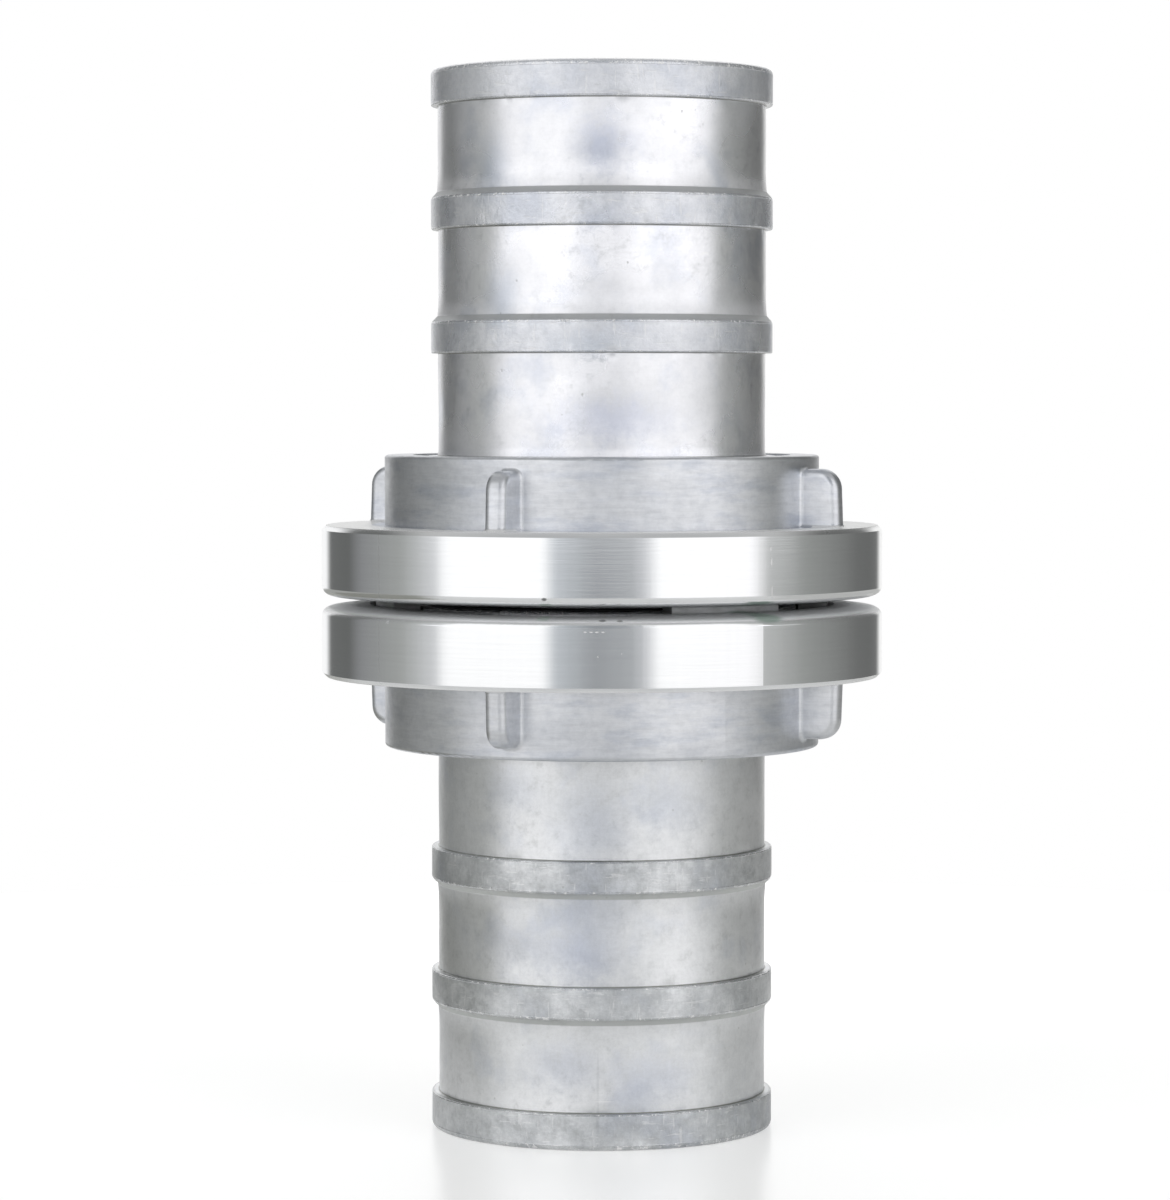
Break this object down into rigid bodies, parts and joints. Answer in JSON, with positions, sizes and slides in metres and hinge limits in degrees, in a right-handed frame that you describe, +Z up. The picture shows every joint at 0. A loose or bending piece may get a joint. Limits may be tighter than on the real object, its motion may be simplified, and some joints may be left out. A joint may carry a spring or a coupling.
{
  "type": "storz coupling",
  "caption": "Symmetrical claw hose coupling: two identical halves with barbed hose tails and turning ribbed caps, locked face to face.",
  "frame": {"origin": "centre of the lower hose end, on the surface the coupling stands on", "axes": "+Z up along the waterway, towards the upper hose end; -Y is the front of the picture"},
  "size_m": [0.1264, 0.1264, 0.2384],
  "materials": {
    "cast_aluminium": "satin as cast",
    "cap_aluminium": "satin as forged, with a bright turned rim",
    "seal_rubber": "matt",
    "spring_steel": "bright drawn"
  },
  "bodies": {
    "lower_tail": {"lower_hose_tail": "cast_aluminium", "lower_seal": "seal_rubber", "lower_snap_ring": "spring_steel"},
    "lower_cap": {"lower_claw_cap": "cap_aluminium"},
    "upper_cap": {"upper_claw_cap": "cap_aluminium"},
    "upper_tail": {"upper_hose_tail": "cast_aluminium", "upper_seal": "seal_rubber", "upper_snap_ring": "spring_steel"}
  },
  "joints": [
    {"name": "lower_swivel", "type": "hinge", "parent": "lower_tail", "child": "lower_cap", "pos_m": [0, 0, 0.095], "axis": [0, 0, 1], "continuous": true},
    {"name": "coupling_twist", "type": "hinge", "parent": "lower_cap", "child": "upper_cap", "pos_m": [0, 0, 0.1192], "axis": [0, 0, 1], "range_deg": [0, 69]},
    {"name": "upper_swivel", "type": "hinge", "parent": "upper_cap", "child": "upper_tail", "pos_m": [0, 0, 0.143], "axis": [0, 0, 1], "continuous": true}
  ]
}
